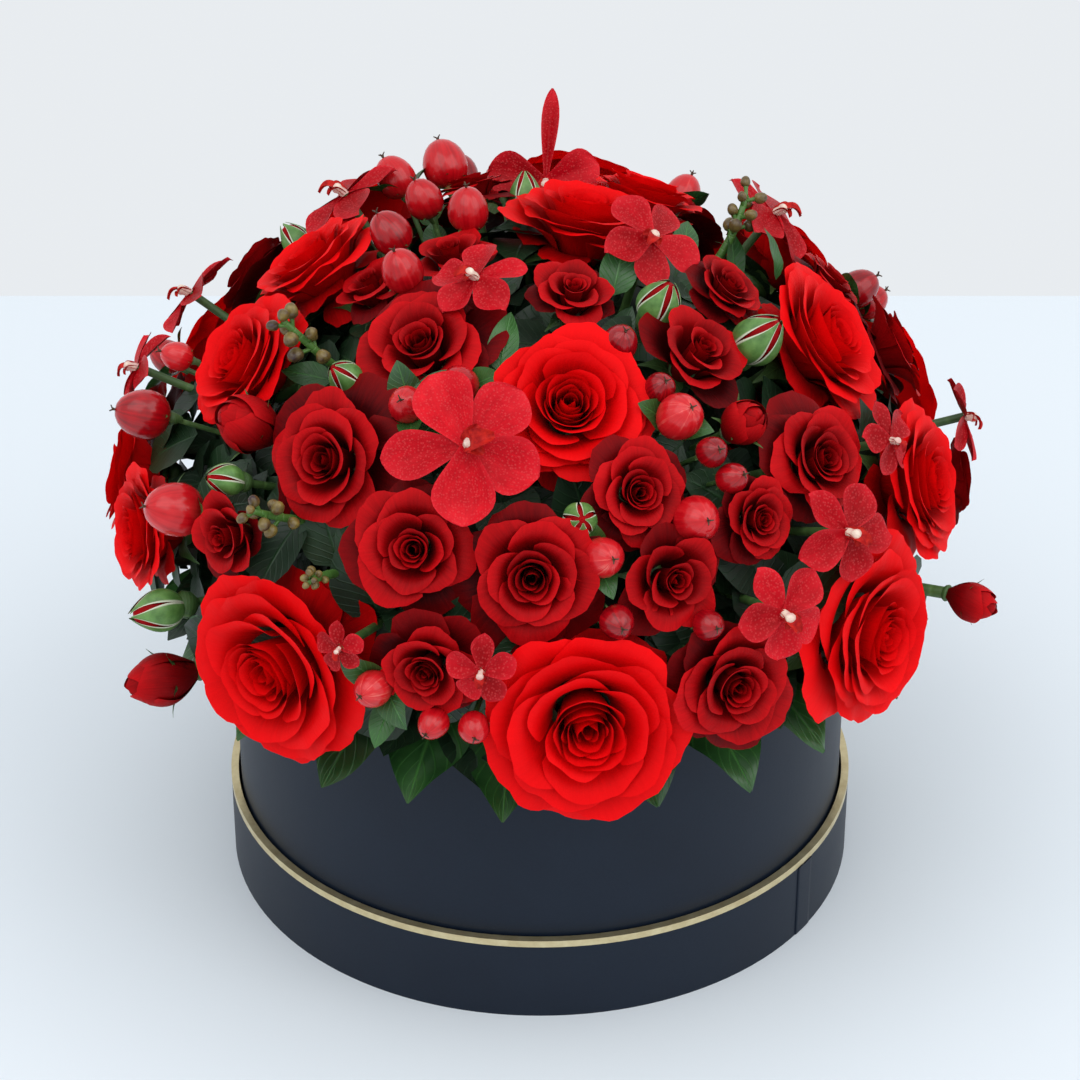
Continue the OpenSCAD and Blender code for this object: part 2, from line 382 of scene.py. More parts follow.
GARDEN = petal_material(
    "garden_rose_petal_velvet",
    deep=(0.26, 0.0, 0.001), mid=(0.72, 0.0008, 0.002), bright=(0.92, 0.002, 0.004), rough=0.6,
)
SPRAY = petal_material(
    "spray_rose_petal_velvet",
    deep=(0.045, 0.0, 0.001), mid=(0.25, 0.0006, 0.002), bright=(0.62, 0.003, 0.006), rough=0.55,
)
STEM = leaf_material("stem_and_sepal_green", (0.035, 0.09, 0.02), (0.13, 0.24, 0.06), 0.5)
LEAF = leaf_material("glossy_leaf_green", (0.012, 0.055, 0.012), (0.075, 0.25, 0.05), 0.36)
STALK = leaf_material("fresh_stalk_green", (0.05, 0.14, 0.02), (0.16, 0.33, 0.07), 0.4)
DEEP_LEAF = leaf_material("shaded_leaf_green", (0.006, 0.022, 0.008), (0.028, 0.085, 0.028), 0.5)

# --- Roses ------------------------------------------------------------------


def hermite(p0, p1, t0, t1, s):
    """Points and the curve at s, each argument an array that broadcasts with s."""
    s2, s3 = s * s, s * s * s
    return (2 * s3 - 3 * s2 + 1) * p0 + (s3 - 2 * s2 + s) * t0 + (3 * s2 - 2 * s3) * p1 + (s3 - s2) * t1


def rose(
    shape, basis, origin, r, rg, heart, skirt, heart_r, lean, roll, tip_curl, lip_low, ruffle,
    rag, guard, guard_r, reach, point=0.0, depth=1.0, nu=18, nv=13,
):
    """heart petals scrolled tight within heart_r, then skirt petals round them that open out to radius 1.

    lean is the outermost lip's angle from the axis; roll turns the lips back; tip_curl turns back
    their sides as well; lip_low drops the outer lips; rag frays them; point draws them out to a tip.
    Guard petals hang loosely below the rest, painted darker as shade.
    """
    u = np.linspace(-1, 1, nu + 1)[:, None]
    v = np.linspace(0, 1, nv + 1)[None, :] ** 0.85
    au = np.abs(u)
    start = rg.uniform(0, TAU)
    made = []
    for k in range(heart + skirt + guard):
        jit = rg.normal(0, 1, 9)
        inner, loose = k < heart, k >= heart + skirt
        q = k / heart if inner else min(1, (k - heart + 1) / skirt)
        t = 0.4 * q if inner else 0.4 + 0.6 * q
        rho = (0.03 + (heart_r - 0.03) * q**0.9) if inner else heart_r + 0.05 + (0.95 - heart_r) * q**0.8
        rho = rho * (1 + 0.035 * jit[0] * (0.4 + t))
        high = -0.09 * (1 - q) ** 2 if inner else -lip_low * q**1.5
        if loose:
            rho, high = guard_r * (1 + 0.07 * jit[0]), -lip_low - 0.30 + 0.08 * jit[1]
        high = high + 0.02 * jit[1] * t
        phi = start + k * GOLDEN + 0.12 * jit[2]
        half = math.radians(100 - 22 * q if inner else 66 - 14 * q)
        out = math.radians(-12 + 40 * q if inner else 34 + (lean - 34) * q**0.6 + 6 * jit[3])
        out_u = out + math.radians(tip_curl * t) * au**2
        rho_u = rho * (1 - 0.07 * t * au**2)
        notches = np.sin(u * 12 + jit[4] * 9) + 0.6 * np.sin(u * 23 + jit[5] * 9)
        fray = rag * t * (notches - 0.6 * np.abs(np.sin(u * 3 + jit[6] * 5)))
        s = v * (1 - (0.16 + 0.05 * abs(jit[4])) * au**3 + fray)
        low = 0.10 + 0.08 * t
        rise = math.radians(12 + 45 * t)
        size = 0.5 + 0.35 * t
        end = 0.55 if inner else 0.5 + 0.7 * q
        R = hermite(low, rho_u, size * math.sin(rise), end * np.sin(out_u), s)
        Z = hermite(-depth, high - 0.04 * t * au**2, size * 2.0 * math.cos(rise), end * np.cos(out_u), s)
        wide = 0.45 + 0.55 * np.sin(np.clip(s / 0.7, 0, 1) * math.pi / 2)
        theta = phi + u * half * wide * (1 - 0.06 * s**6) + 0.05 * jit[8] * s
        lipness = np.clip((s - 0.66) / 0.34, 0, 1)
        amount = roll * (0.25 + 0.75 * t) * (1 + 0.35 * jit[5]) * lipness**2 * (1 + 0.8 * au**2)
        R = R + amount * np.cos(out_u) * 0.8 + point * t * (1 - au) ** 2 * lipness**2
        Z = Z - amount * np.sin(out_u + 0.45)
        folds = (
            np.sin(u * 4.2 + jit[5] * 3) * 0.5
            + np.sin(u * 8.3 + jit[6] * 3) * 0.35
            + np.sin(u * 15 + jit[7] * 5) * 0.15
        )
        wave = ruffle * (0.15 + t) * lipness**1.5 * folds
        Z = Z + wave * np.sin(out_u)
        R = R + wave * np.cos(out_u) + 0.5 * ruffle * t * lipness * np.sin(u * 6.0 + jit[7] * 4)
        # Guard petals get a far darker tone, painted shade for where they hang deep among the blooms; the
        # other petals get a random tone
        shade = rg.uniform(-2.2, -1.2) if loose else rg.uniform()
        pts = np.stack([R * np.cos(theta), R * np.sin(theta), Z + 0 * theta], -1)
        made.append((pts, R.max(), u + 0 * s, t, shade))
    outer = sorted(m[1] for m in made[: heart + skirt])[-5:]
    grow = reach / (sum(outer) / len(outer))
    for pts, _, uu, t, shade in made:
        pts = pts * (r * grow, r * grow, r)
        shape.grid(placed(pts, basis, origin), u=uu, v=v + 0 * uu, t=t, rand=shade)


def tube(shape, points, radii, mat=0, sides=10):
    """A round stalk along points, with a radius at each."""
    points, radii = np.asarray(points, float), np.asarray(radii, float)
    d = np.gradient(points, axis=0)
    d /= np.linalg.norm(d, axis=1)[:, None]
    a = np.cross(d, (0.31, 0.57, 0.76))  # any direction that no stalk runs along
    a /= np.linalg.norm(a, axis=1)[:, None]
    b = np.cross(d, a)
    ang = np.arange(sides) / sides * TAU
    ring = a[:, None] * np.cos(ang)[None, :, None] + b[:, None] * np.sin(ang)[None, :, None]
    pts = points[:, None] + ring * radii[:, None, None]
    s = np.linspace(0, 1, len(points))[:, None]
    shape.grid(pts, mat, wrap=True, u=0.4, v=s + 0 * ang, t=0.5, rand=0.5)


def sepals(shape, basis, origin, r, rg, base, spread, length, count=5, width=0.2):
    """Pointed sepals from a whorl at height base; spread is their angle from the axis, in degrees."""
    n = 8
    s = np.linspace(0, 1, n + 1)
    for k in range(count):
        phi = k * TAU / count + rg.uniform(-0.2, 0.2)
        a0, a1 = math.radians(spread - 25), math.radians(spread + 30 + rg.uniform(-18, 18))
        a = a0 + (a1 - a0) * s
        step = length / n
        R = 0.16 + np.concatenate([[0], np.cumsum(np.sin(a[:-1]) * step)])
        Z = base + np.concatenate([[0], np.cumsum(np.cos(a[:-1]) * step)])
        w = width * np.clip(1 - s, 0.02, 1) ** 0.7 * (0.7 + 0.6 * np.sin(np.pi * np.clip(s * 1.4, 0, 1)))
        cross = np.linspace(-1, 1, 5)
        x = np.cos(phi) * R[:, None] - np.sin(phi) * w[:, None] * cross
        y = np.sin(phi) * R[:, None] + np.cos(phi) * w[:, None] * cross
        fold = 0.25 * w[:, None] * cross**2
        z = Z[:, None] + fold
        pts = np.stack([x, y, z + 0 * x], -1) * r
        across, along = cross[None] + 0 * x, s[:, None] + 0 * x
        shape.grid(placed(pts, basis, origin), u=across, v=along, t=0.5, rand=rg.uniform())


def receptacle(shape, basis, origin, r, base, rad=0.3):
    """The green cup under a rose's petals."""
    prof = np.array([(0.0, 0.14), (0.9, 0.1), (1.0, -0.05), (0.85, -0.3), (0.5, -0.52), (0.3, -0.62)])
    ang = np.arange(16) / 16 * TAU
    R, Z = prof[:, 0] * rad, base + prof[:, 1] * rad * 1.3
    pts = np.stack([R[:, None] * np.cos(ang), R[:, None] * np.sin(ang), Z[:, None] + 0 * ang], -1) * r
    shape.grid(placed(pts, basis, origin), wrap=True, u=0.5, v=0.5, t=0.5, rand=0.4)


def rose_greens(shape, bloom, basis, origin, r, rg, depth, spread=95, sepal=0.75):
    """The cup, sepals and stem of a rose."""
    receptacle(shape, basis, origin, r, -depth)
    sepals(shape, basis, origin, r, rg, -depth + 0.02, spread, sepal)
    ends = np.linspace(bloom["stem"], bloom["face"] - depth * r, 6)
    stem_r = 0.0021 if r < BIG_ROSE_R else 0.0026
    tube(shape, HEART + np.outer(ends, bloom["axis"]), np.full(6, stem_r))


# Lengths are shares of the rose's radius, and angles are in degrees
STYLES = {
    "garden": dict(
        heart=14, skirt=16, heart_r=0.42, lean=98, roll=0.05, tip_curl=10, lip_low=0.34,
        ruffle=0.05, rag=0.013, guard=4, guard_r=0.80, depth=0.95, reach=1.04, nu=24,
    ),
    "spray": dict(
        heart=10, skirt=10, heart_r=0.38, lean=84, roll=0.10, tip_curl=34, lip_low=0.30,
        ruffle=0.04, rag=0.012, guard=5, guard_r=1.10, point=0.05, reach=1.12,
    ),
    "cup": dict(
        heart=8, skirt=7, heart_r=0.34, lean=58, roll=0.12, tip_curl=40, lip_low=0.22,
        ruffle=0.03, rag=0.01, guard=3, guard_r=1.0, point=0.12, depth=1.15, reach=1.0,
    ),
}
BUD_DEPTH = 1.38


def closed_rose(shape, basis, origin, r, rg):
    """A closed bud of petals wrapped round each other, the outer ones loosening at their tips."""
    length, belly = 1.85, 0.66
    u = np.linspace(-1, 1, 17)[:, None]
    v = np.linspace(0, 1, 17)[None, :]
    start = rg.uniform(0, TAU)
    for k in range(8):
        q = k / 7
        jit = rg.normal(0, 1, 4)
        s = v * (1 - (0.16 + 0.06 * q) * np.abs(u) ** 1.8 - 0.06 * q * abs(jit[0]))
        R = belly * (0.78 + 0.22 * q) * np.sin(math.pi * (0.07 + 0.86 * s**1.15)) ** 0.85
        loose = np.clip((s - 0.55) / 0.45, 0, 1) ** 2 * q**1.2
        R = R * (1 + 0.02 * jit[1]) + loose * (0.24 + 0.09 * jit[2]) + 0.03 * q * np.abs(u)
        Z = length * (s * (1 - 0.10 * q) - 1) - loose * 0.05 * (1 + 3 * np.abs(u) ** 2) + 0 * u
        half = math.radians(88 - 20 * q) * (0.55 + 0.45 * np.sin(s * 2.2))
        theta = start + k * GOLDEN + u * half + 0.55 * s
        pts = np.stack([R * np.cos(theta), R * np.sin(theta), Z + 0 * theta], -1) * r
        across, along = u + 0 * s, v + 0 * u
        shape.grid(
            placed(pts, basis, origin), u=across, v=along, t=0.3 + 0.6 * q, rand=rg.uniform()
        )


def make_roses(node, style_for, petal_mat):
    """Petals and greens for every rose of a node, each varied a little and nodding on its stem."""
    petals, greens = Shape(), Shape()
    for i, b in enumerate(blooms_of(node)):
        rg = np.random.default_rng(hash_of(node) + i)
        kind = style_for(b)
        r = b["r"] / HEAD_SHARE
        style = dict(STYLES.get(kind, {}))
        depth = style.get("depth", 1.0) if style else BUD_DEPTH
        if kind != "bud":
            style["lean"] += rg.uniform(-14, 8)
            style["heart_r"] += rg.uniform(-0.05, 0.05)
            style["roll"] *= rg.uniform(0.7, 1.3)
        nod = local_frame(b["axis"], rg.uniform(0, TAU))[:, 0]
        nod = nod * (rg.uniform(0.02, 0.08) if r > BIG_ROSE_R else rg.uniform(0.04, 0.17))
        axis = (b["axis"] + nod) / np.linalg.norm(b["axis"] + nod)
        basis = local_frame(axis, rg.uniform(0, TAU))
        origin = HEART + b["axis"] * (b["face"] - depth * r) + axis * depth * r
        if kind == "bud":
            closed_rose(petals, basis, origin + axis * 0.45 * r, r, rg)
            turned(petals, basis, origin + axis * 0.37 * r, egg(0.50 * r, 1.65 * r), rand=0.1)
            rose_greens(greens, b, basis, origin, r, rg, depth, 42, 1.25)
        else:
            rose(petals, basis, origin, r, rg, **style)
            rose_greens(greens, b, basis, origin, r, rg, depth)
    p = petals.build(node + "_petals", [petal_mat])
    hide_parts(node)
    g = greens.build(node + "_stem", [STEM])


def hash_of(name):
    """A seed for a node's random draws that is the same each run."""
    return sum((i + 1) * ord(c) for i, c in enumerate(name))


# --- Orchids ----------------------------------------------------------------


def orchid_of(points):
    """Middle, facing direction and radius of an orchid's solid."""
    head = points[np.linalg.norm(points - HEART, axis=1) > 0.08]
    mid = head.mean(0)
    off = np.linalg.norm(head - mid, axis=1)
    tips = head[off > 0.6 * off.max()]
    mid = tips.mean(0)
    n = np.linalg.eigh(np.cov((tips - mid).T))[1][:, 0]
    along = (head - mid) @ n
    if along.max() < -along.min():
        n = -n
    return mid, n, np.linalg.norm(tips - mid, axis=1).max()


def orchid_petal(shape, basis, origin, rg, length, width, angle, back, cup, shade):
    """A round petal at an angle about the face, bent back by degrees and cupped across."""
    nu, nv = 10, 16
    u = np.linspace(-1, 1, nu + 1)[None, :]
    s = (0.5 - 0.5 * np.cos(np.linspace(0, math.pi, nv + 1)))[:, None]
    w = width * (0.20 * (1 - s) ** 2 + np.clip(np.sin(math.pi * s**1.75), 0, 1) ** 0.62)
    w[-1] = width * 0.10
    bend = math.radians(back)
    x = length * np.sin(bend * s) / bend
    z = -length * (1 - np.cos(bend * s)) / bend
    y = w * u
    z = z + cup * w * u**2 - 0.07 * length * np.sin(math.pi * s) * (1 - np.abs(u)) ** 1.3
    z = z + 0.06 * length * np.sin(s * 5 + rg.uniform(0, 6)) * u * s
    z = z + 0.02 * length * s * np.sin(u * 5 + s * 9 + rg.uniform(0, 6)) * u**2
    x = x + 0 * u
    c, q = math.cos(angle), math.sin(angle)
    pts = np.stack([x * c - y * q, x * q + y * c, z + 0 * u], -1)
    tone = rg.uniform() * 0.7 + 0.15 + shade
    shape.grid(placed(pts, basis, origin), u=u + 0 * s, v=s + 0 * u, t=0.5, rand=tone)


def turned(shape, basis, origin, profile, mat=0, sides=18, lobes=0, lobe=0.0, rand=0.5):
    """A revolve of (radius, height) points, swelled by lobes round it."""
    prof = np.array(profile, float)
    ang = np.arange(sides) / sides * TAU
    swell = 1 + lobe * np.cos(lobes * ang)
    R, Z = prof[:, :1], prof[:, 1:]
    pts = np.stack([R * np.cos(ang) * swell, R * np.sin(ang) * swell, Z + 0 * ang], -1)
    s = np.linspace(0, 1, len(prof))[:, None]
    around = np.abs(ang / math.pi - 1)[None] + 0 * s
    shape.grid(
        placed(pts, basis, origin), mat, wrap=True, u=around, v=s + 0 * ang, t=0.5, rand=rand
    )


# Petals of an orchid after the upper one: angle in degrees, then length and half width as
# shares of its radius
PETALS = ((162, 1.0, 0.38), (18, 1.0, 0.38), (234, 0.98, 0.36), (306, 0.98, 0.36))
# Tongue and side lobes of the lip: angle, half width and length
LIPS = ((270, 0.13, 0.34), (230, 0.10, 0.24), (310, 0.10, 0.24))
# Half section of the column, as shares of its own radius
COLUMN_SECTION = (
    (0.85, 0.6), (0.8, 1.3), (1.0, 1.8), (0.95, 2.3), (0.6, 2.65), (0.02, 2.75)
)


def orchid(petals, centre, greens, points, rg, roll, dorsal):
    """One orchid on its stem; dorsal is the length and half width of its upper petal."""
    mid, n, r = orchid_of(points)
    r = r / HEAD_SHARE
    basis = local_frame(n, roll)
    shade = rg.uniform(-0.2, 0.2) + (0.2 if r > BIG_ROSE_R else -0.15)
    for k, (a, length, width) in enumerate(((90, *dorsal), *PETALS)):
        back = 16 + rg.uniform(-14, 22)
        long = r * length * rg.uniform(0.94, 1.05)
        angle = math.radians(a + rg.uniform(-6, 6))
        origin = mid + n * 0.0006 * (k % 2)
        cup = rg.uniform(0.0, 0.35)
        orchid_petal(petals, basis, origin, rg, long, r * width, angle, back, cup, shade)
    # The lip curls forwards and down
    for a, w, ln in LIPS:
        u = np.linspace(-1, 1, 7)[None, :]
        s = np.linspace(0, 1, 9)[:, None]
        x = ln * r * (0.35 * s + 0.75 * s**2)
        z = ln * r * (0.9 * np.sin(s * 2.2)) + 0.5 * w * r * u**2
        y = w * r * u * np.sqrt(np.clip(1 - (s * 0.96) ** 3, 0, 1))
        c, q = math.cos(math.radians(a)), math.sin(math.radians(a))
        pts = np.stack([(x + 0 * u) * c - y * q, (x + 0 * u) * q + y * c, z + 0 * y], -1)
        centre.grid(placed(pts, basis, mid), u=u + 0 * s, v=s + 0 * u, t=0.5, rand=rg.uniform())
    tilt = basis @ np.array((0, -0.35, 1.0))
    tilt = local_frame(tilt / np.linalg.norm(tilt))
    k = min(0.0019, r * 0.11)
    section = [(k * 0.7, -0.001), *((k * a, k * b) for a, b in COLUMN_SECTION)]
    turned(centre, tilt, mid, section, 1, 12)
    d = mid - HEART
    dist = np.linalg.norm(d)
    near = np.linalg.norm(points - HEART, axis=1).min()
    ends = np.linspace(near, dist, 8)
    line = HEART + np.outer(ends, d / dist)
    line[-2] = line[-2] * 0.6 + (mid - n * (dist - ends[-2])) * 0.4
    tube(greens, line, np.full(8, 0.0015))


# How far each front orchid is turned about its own axis, in degrees
ORCHID_ROLL = {
    "orchid_1": 105, "orchid_2": -40, "orchid_3": 0, "orchid_4": -60, "orchid_5": 30,
    "orchid_6": 20,
}


def orchid_petal_material():
    """Red petal with fine veins, a bright rim and a mist of pale dots, painted glints of tiny water
    drops.
    """
    m, t, b = principled("orchid_petal_speckled")
    u, v, r = (attribute(t, x) for x in ("u", "v", "rand"))
    spots = t.nodes.new("ShaderNodeTexVoronoi")
    spots.inputs["Scale"].default_value = 1100
    link(t, object_coords(t), spots.inputs["Vector"])
    dots = sub(t, 1.0, mul(t, spots.outputs["Distance"], 2.1), True)
    cloud = noise(t, object_coords(t), 260, 3)
    fan = combine(t, mul(t, u, 7.0), mul(t, v, 1.0), mul(t, r, 31.0))
    veins = noise(t, fan, 2.0, 3)
    tone = add(t, mul(t, cloud, 0.45), mul(t, veins, 0.35))
    tone = add(t, tone, mul(t, math_node(t, "POWER", v, 3.0), 0.15))
    tone = add(t, tone, swing(t, r, 0.5), True)
    reds = [(0.2, (0.28, 0.0005, 0.003)), (0.55, (0.50, 0.002, 0.009)), (0.9, (0.74, 0.009, 0.018))]
    base = ramp(t, tone, reds)
    rim = math_node(t, "POWER", math_node(t, "MAXIMUM", math_node(t, "ABSOLUTE", u), v), 6.0)
    base = mix(t, mul(t, rim, 0.35), base, (0.88, 0.03, 0.045))
    # The pale dots are painted highlights, glints of tiny water drops on the petal; the same dots also
    # raise small bumps
    link(t, mix(t, mul(t, dots, 0.38), base, (0.86, 0.10, 0.10)), b.inputs["Base Color"])
    b.inputs["Roughness"].default_value = 0.42
    b.inputs["Specular IOR Level"].default_value = 0.10
    bump(t, b, add(t, cloud, mul(t, dots, 0.9)), 0.45, 0.0004)
    return m


def simple_material(name, low, high, scale, roughness, strength=0.25, dist=0.0004, spec=0.5):
    """Two tones clouded by noise, which also makes the bumps."""
    m, t, b = principled(name)
    cloud = noise(t, object_coords(t), scale, 4)
    link(t, ramp(t, cloud, [(0.3, low), (0.7, high)]), b.inputs["Base Color"])
    b.inputs["Roughness"].default_value = roughness
    b.inputs["Specular IOR Level"].default_value = spec
    bump(t, b, cloud, strength, dist)
    return m


ORCHID = orchid_petal_material()
LIP = simple_material(
    "orchid_lip_deep_red", (0.26, 0.001, 0.004), (0.60, 0.02, 0.012), 500, 0.5, spec=0.12
)
COLUMN = simple_material(
    "orchid_column_ivory", (0.66, 0.36, 0.34), (0.86, 0.76, 0.60), 420, 0.4, spec=0.3
)

# --- Berries, buds and spikes -------------------------------------------------


def berry_material():
    """Glossy skin with paler streaks from foot to tip, painted highlights of its gloss."""
    m, t, b = principled("berry_skin_glossy")
    u, v, r = (attribute(t, x) for x in ("u", "v", "rand"))
    streaks = combine(t, mul(t, u, 16.0), mul(t, v, 0.7), mul(t, r, 29.0))
    lines = noise(t, streaks, 1.0, 3)
    cloud = noise(t, object_coords(t), 220, 2)
    tone = add(t, mul(t, lines, 0.6), mul(t, cloud, 0.3))
    tone = add(t, tone, swing(t, r, 0.45), True)
    # The pale top of this ramp, reached along the streaks, is a painted highlight
    reds = [
        (0.2, (0.20, 0.001, 0.004)),
        (0.5, (0.52, 0.003, 0.008)),
        (0.72, (0.66, 0.015, 0.02)),
        (0.95, (0.84, 0.22, 0.17)),
    ]
    link(t, ramp(t, tone, reds), b.inputs["Base Color"])
    b.inputs["Roughness"].default_value = 0.25
    b.inputs["Specular IOR Level"].default_value = 0.35
    b.inputs["Coat Weight"].default_value = 0.25
    b.inputs["Coat Roughness"].default_value = 0.08
    bump(t, b, cloud, 0.2, 0.0004)
    return m


BERRY = berry_material()
TIP_DARK = simple_material("dark_tip", (0.03, 0.015, 0.008), (0.09, 0.05, 0.02), 600, 0.5)


def egg(r, length, blunt=0.9, n=12):
    """Profile from the foot at height -length up to the tip at 0."""
    s = np.linspace(0, 1, n)
    ang = s * math.pi
    rad = r * np.sin(ang) ** blunt * (1 + 0.12 * np.cos(ang))
    rad[0], rad[-1] = r * 0.12, r * 0.03
    return np.stack([rad, -length * (1 + np.cos(ang)) / 2], 1)


def berries(node):
    """Berries with a three-pointed tip, sepals and stem; most large ones have a pair of leaves."""
    fruit, greens = Shape(), Shape()
    for i, b in enumerate(blooms_of(node)):
        rg = np.random.default_rng(hash_of(node) + 31 * i)
        r = b["r"] / HEAD_SHARE
        axis = b["axis"] + rg.normal(0, 0.10, 3)
        axis = axis / np.linalg.norm(axis)
        basis = local_frame(axis, rg.uniform(0, TAU))
        length = 2.25 * r
        tip = HEART + b["axis"] * (b["face"] - r * HEAD_SHARE) + axis * (length / 2 + 0.0005)
        turned(fruit, basis, tip, egg(r, length), 0, 20, 3, 0.025, rand=rg.uniform())
        for k in range(3):
            d = local_frame(axis, k * TAU / 3)[:, 0]
            line = [(-0.0004, 0), (0.0010, 0.0004), (0.0016, 0.0014)]
            line = [tip + axis * up + d * out for up, out in line]
            tube(fruit, line, [0.00035, 0.0003, 0.0002], 1, 5)
        foot = tip - axis * length
        sepals(greens, basis, foot, r, rg, 0.10, 78, 0.85, width=0.34)
        cup = [(r * 0.1, r * 0.1), (r * 0.3, 0), (r * 0.22, -r * 0.25), (0.001, -r * 0.5)]
        turned(greens, basis, foot, cup, 0, 10)
        start = HEART + b["axis"] * b["stem"]
        way = np.linspace(0, 1, 7)[:, None]
        tube(greens, start + (foot - start) * way, np.full(7, 0.0009), 0, 8)
        if r > 0.0052 and rg.uniform() < 0.75:
            roll = rg.uniform(0, TAU)
            for side in (0, math.pi):
                d = local_frame(b["axis"], roll + side)[:, 0]
                base = foot - b["axis"] * 0.001
                out = d * 0.8 + b["axis"] * 0.75
                length, width = rg.uniform(0.014, 0.020), rg.uniform(0.0046, 0.0062)
                leaf(greens, base, out, b["axis"], length, width, 25, rg, mat=1)
    o = fruit.build(node + "_fruit", [BERRY, TIP_DARK])
    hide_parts(node)
    g = greens.build(node + "_sepals", [STEM, LEAF])


def leaf(
    shape, base, out, up, length, width, droop, rg, mat=0, fold=0.25, nu=6, nv=12, wave=0.05
):
    """Ovate pointed leaf from base along out, its face towards up; droop bends it back, in degrees."""
    out = np.asarray(out, float) / np.linalg.norm(out)
    side = np.cross(up, out)
    side /= np.linalg.norm(side)
    top = np.cross(out, side)
    u = np.linspace(-1, 1, nu + 1)[None, :]
    s = np.linspace(0, 1, nv + 1)[:, None]
    w = width * (np.clip(s, 1e-4, 1) / 0.4) ** 0.6 * (np.clip(1 - s, 0, 1) / 0.6) ** 0.9
    w = np.maximum(w, width * 0.02)
    bend = math.radians(droop)
    x = length * np.sin(bend * s) / bend
    z = -length * (1 - np.cos(bend * s)) / bend
    ripple = wave * width * np.sin(s * 14 + rg.uniform(0, 6)) * np.abs(u) ** 1.5
    z = z + fold * w * np.abs(u) ** 1.3 + ripple
    pts = base + x[..., None] * out + (w * u)[..., None] * side + (z + 0 * u)[..., None] * top
    shape.grid(pts, mat, u=u + 0 * s, v=s + 0 * u, t=0.5, rand=rg.uniform())


def green_bud_material():
    """Green sepal with pale edges."""
    m, t, b = principled("rosebud_sepal_striped")
    au = math_node(t, "ABSOLUTE", attribute(t, "u"))
    pale = mul(t, sub(t, au, 0.80), 9.0, True)
    cloud = noise(t, object_coords(t), 300, 3)
    green = ramp(t, cloud, [(0.3, (0.06, 0.16, 0.03)), (0.7, (0.14, 0.30, 0.07))])
    link(t, mix(t, pale, green, (0.62, 0.66, 0.50)), b.inputs["Base Color"])
    b.inputs["Roughness"].default_value = 0.45
    bump(t, b, cloud, 0.3, 0.0004)
    return m


GREEN_BUD = green_bud_material()


def green_buds(node):
    """Closed rosebuds: a red core in five sepals with a thin line of petal between them."""
    buds, stems = Shape(), Shape()
    for i, b in enumerate(blooms_of(node)):
        rg = np.random.default_rng(hash_of(node) + 17 * i)
        r = b["r"] / HEAD_SHARE
        basis = local_frame(b["axis"], rg.uniform(0, TAU))
        length = 2.35 * r
        foot = HEART + b["axis"] * (b["face"] - length)
        tip = foot + b["axis"] * length * 0.97
        turned(buds, basis, tip, egg(r * 0.80, length * 0.92), 1, 16, rand=0.4)
        s = np.linspace(0, 1, 15)[:, None]
        u = np.linspace(-1, 1, 9)[None, :]
        prof = np.sin(math.pi * (0.06 + 0.94 * s)) ** 0.75 * (1.05 - 0.35 * s)
        prof[-1] = 0.03
        for k in range(5):
            wide = math.radians(35.5) * np.clip(1.02 - 0.75 * s**3, 0.05, 1)
            theta = k * TAU / 5 + u * wide + 0.25 * s
            flare = 0.05 * s**4 * (1 + 2 * rg.uniform())
            R = r * (prof + flare) * (1 - 0.06 * u**2) + 0.0003
            Z = length * (0.02 + 1.03 * s) + 0 * u
            pts = np.stack([R * np.cos(theta), R * np.sin(theta), Z], -1)
            buds.grid(placed(pts, basis, foot), u=u + 0 * s, v=s + 0 * u, t=0.5, rand=rg.uniform())
        cup = [(0.5, 0.25), (0.62, 0), (0.5, -0.35), (0.2, -0.6)]
        cup = [(r * a, r * c) for a, c in cup] + [(0.0012, -r * 0.7)]
        turned(stems, basis, foot, cup, 0, 12)
        ends = np.linspace(b["stem"], b["face"] - length - r * 0.6, 6)
        tube(stems, HEART + np.outer(ends, b["axis"]), np.full(6, 0.0014))
    o = buds.build(node + "_sepals", [GREEN_BUD, SPRAY])
    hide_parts(node)
    g = stems.build(node + "_stem", [STEM])


OLIVE_BUD = simple_material("orchid_bud_olive", (0.030, 0.010, 0.014), (0.24, 0.17, 0.04), 210, 0.3)


def orchid_spikes(node):
    """Tips of orchid sprays: small olive buds in a spiral up a swaying stalk."""
    spikes, stems = Shape(), Shape()
    for i, b in enumerate(blooms_of(node)):
        rg = np.random.default_rng(hash_of(node) + 13 * i)
        r = b["r"] / HEAD_SHARE
        axis, length = b["axis"], 4.2 * r
        basis = local_frame(axis)
        foot = HEART + axis * (b["face"] - 0.78 * length)
        s = np.linspace(0, 1, 8)[:, None]
        sway = basis[:, 0] * rg.choice((-1, 1)) * rg.uniform(0.5, 0.9) + basis[:, 1] * 0.2
        line = foot + axis * (length * 0.8 * s) + sway * r * (s**2)
        tube(stems, line, np.linspace(0.0016, 0.0011, 8))
        for k in range(9):
            f = 0.34 + 0.66 * k / 8
            at = foot + axis * (length * 0.8 * f) + sway * r * f**2
            d = basis @ np.array((math.cos(k * GOLDEN), math.sin(k * GOLDEN), 0.55 + 0.5 * f))
            d = d / np.linalg.norm(d)
            size = r * rg.uniform(0.25, 0.34) * (1.15 - 0.3 * f)
            bb = local_frame(d)
            profile = egg(size, size * 2.3, 0.8, 9)
            turned(spikes, bb, at + d * size * 4.0, profile, 0, 12, 3, 0.06, rand=rg.uniform())
            line = [at, at + d * size * 1.0, at + d * size * 1.9]
            tube(stems, line, [0.0007, 0.0007, 0.0009], 0, 6)
        ends = np.linspace(b["stem"], b["face"] - 0.78 * length, 6)
        tube(stems, HEART + np.outer(ends, axis), np.full(6, 0.0015))
    o = spikes.build(node + "_buds", [OLIVE_BUD])
    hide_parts(node)
    g = stems.build(node + "_stalk", [STALK])


# --- Leaves -------------------------------------------------------------------


